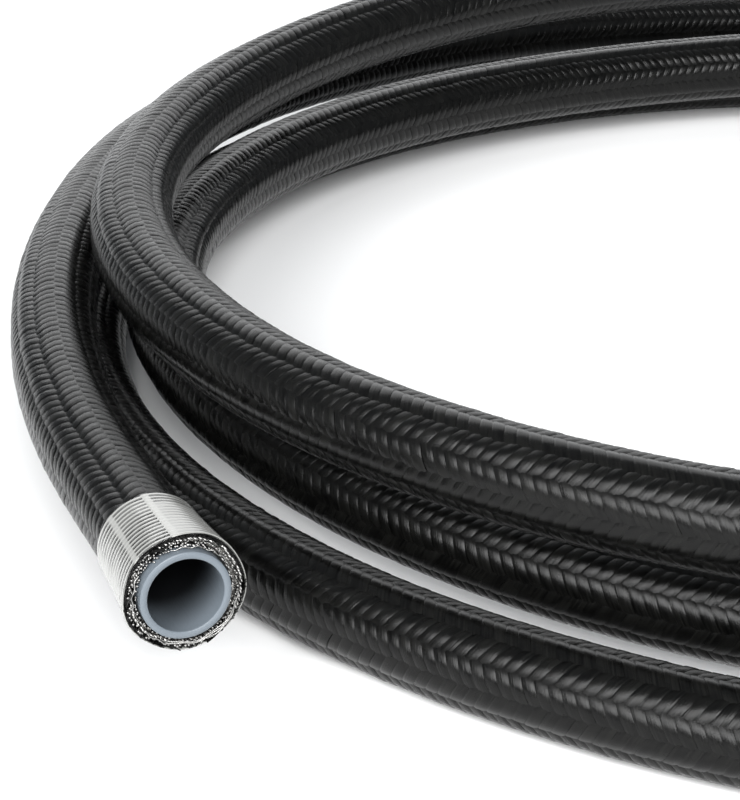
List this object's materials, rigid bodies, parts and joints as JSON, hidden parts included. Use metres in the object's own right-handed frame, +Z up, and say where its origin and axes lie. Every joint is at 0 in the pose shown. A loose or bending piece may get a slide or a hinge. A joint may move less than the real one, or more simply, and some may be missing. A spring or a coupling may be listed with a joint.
{
  "type": "ptfe hose",
  "caption": "Cut length of flexible fluid hose: a white PTFE liner in a braided steel layer and a black braided nylon cover, lying in a loose coil with taped ends.",
  "frame": {"origin": "middle of the coil's footprint, on the surface that it lies on", "axes": "+Z up, across the coil's turns; the outer free end points along -Y and the inner end along -X"},
  "size_m": [0.3142, 0.3028, 0.0403],
  "materials": {
    "ptfe": "smooth, slightly translucent",
    "steel_wire": "bright braided wire",
    "nylon_yarn": "glossy braided yarn",
    "filament_tape": "clear film with white glass threads"
  },
  "bodies": {
    "root": {"ptfe_liner": "ptfe", "steel_braid": "steel_wire", "nylon_cover": "nylon_yarn", "end_tape": "filament_tape", "inner_end_tape": "filament_tape"}
  },
  "joints": []
}
